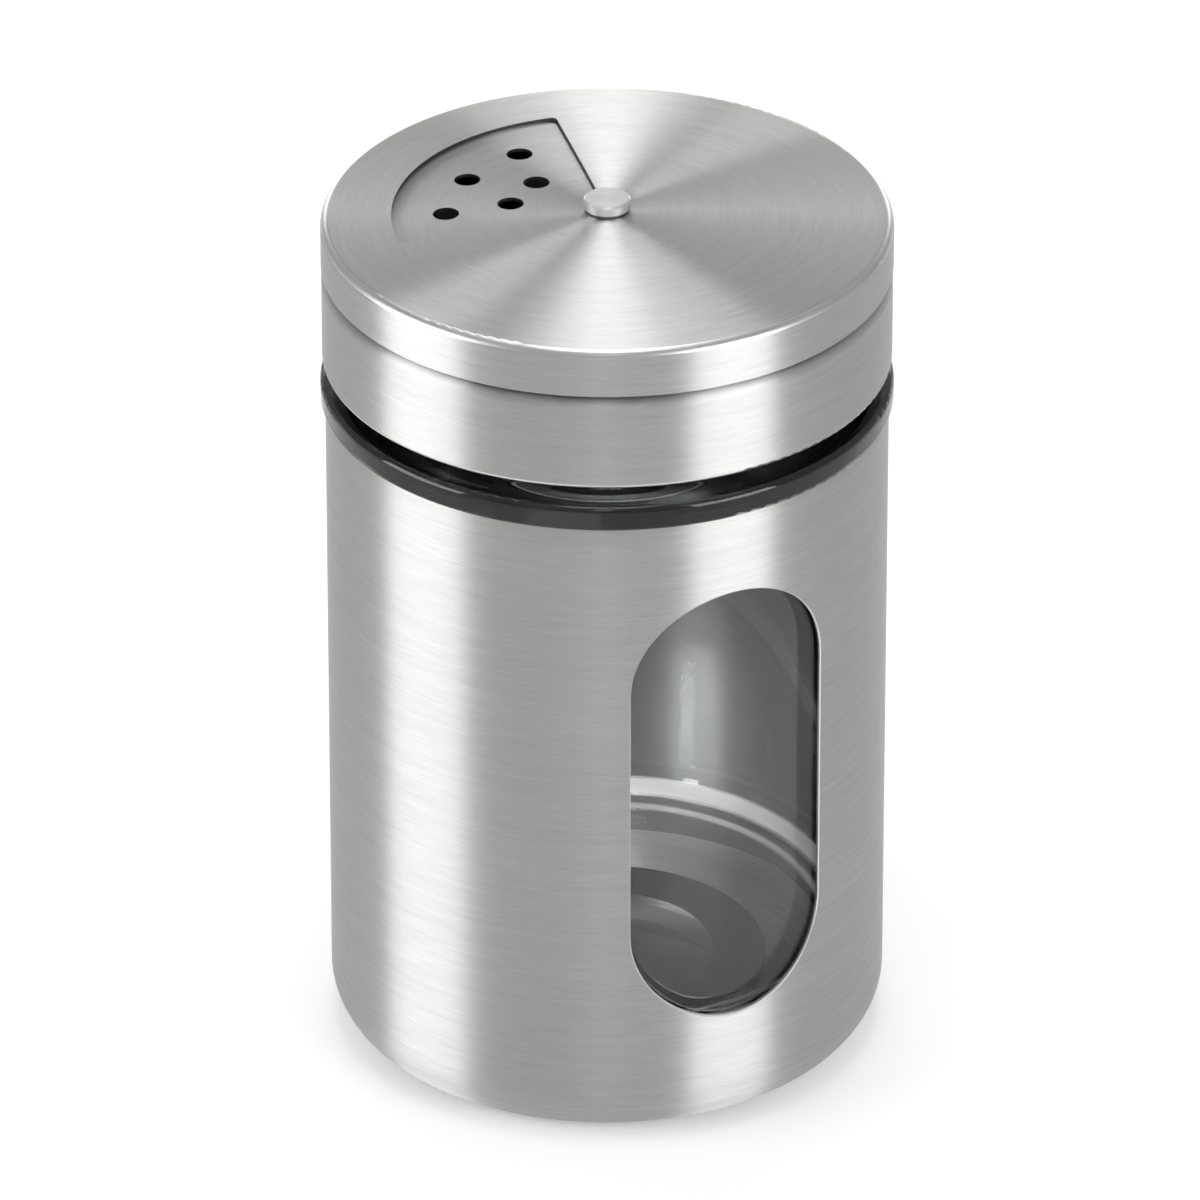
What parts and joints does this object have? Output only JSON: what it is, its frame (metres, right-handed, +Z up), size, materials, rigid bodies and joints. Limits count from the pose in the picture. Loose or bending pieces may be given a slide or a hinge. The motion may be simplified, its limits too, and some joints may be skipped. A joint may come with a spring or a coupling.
{
  "type": "spice shaker",
  "caption": "Round steel-sleeved glass spice shaker with a window in its side, a screw-on perforated lid and a turning cap with a sector opening.",
  "frame": {"origin": "centre of the ring that the shaker stands on, at table level", "axes": "+Z up along the axis of jar, lid and cap; -Y out through the middle of the window; +X completes a right-handed frame"},
  "size_m": [0.0634, 0.0634, 0.1026],
  "materials": {
    "sleeve_steel": "fine brushed round the wall",
    "lid_steel": "fine brushed round the band and in circles on the deck",
    "cap_steel": "fine brushed in circles on the top and round the side",
    "rivet_steel": "turned, smooth",
    "washer_steel": "plain rolled",
    "jar_glass": "clear, polished",
    "seal_rubber": "soft translucent silicone",
    "liner_plastic": "black moulded",
    "cushion_foam": "closed-cell foam",
    "slip_plastic": "thin clear film"
  },
  "bodies": {
    "jar": {"body_sleeve": "sleeve_steel", "jar_cushion": "cushion_foam", "glass_jar": "jar_glass"},
    "seal": {"mouth_seal": "seal_rubber"},
    "lid": {"lid_shell": "lid_steel", "lid_liner": "liner_plastic", "cap_slip_disc": "slip_plastic", "rivet_head_washer": "washer_steel", "pivot_rivet": "rivet_steel", "rivet_spring_washer": "washer_steel", "rivet_back_washer": "washer_steel"},
    "cap": {"rotating_cap": "cap_steel"}
  },
  "joints": [
    {"name": "lid_lift", "type": "slide", "parent": "jar", "child": "seal", "axis": [0, 0, 1], "range_m": [0, 0.03]},
    {"name": "lid_turn", "type": "hinge", "parent": "seal", "child": "lid", "pos_m": [0, 0, 0.0926], "axis": [0, 0, 1], "range_deg": [0, 450]},
    {"name": "cap_turn", "type": "hinge", "parent": "lid", "child": "cap", "pos_m": [0, 0, 0.1009], "axis": [0, 0, 1], "continuous": true}
  ]
}
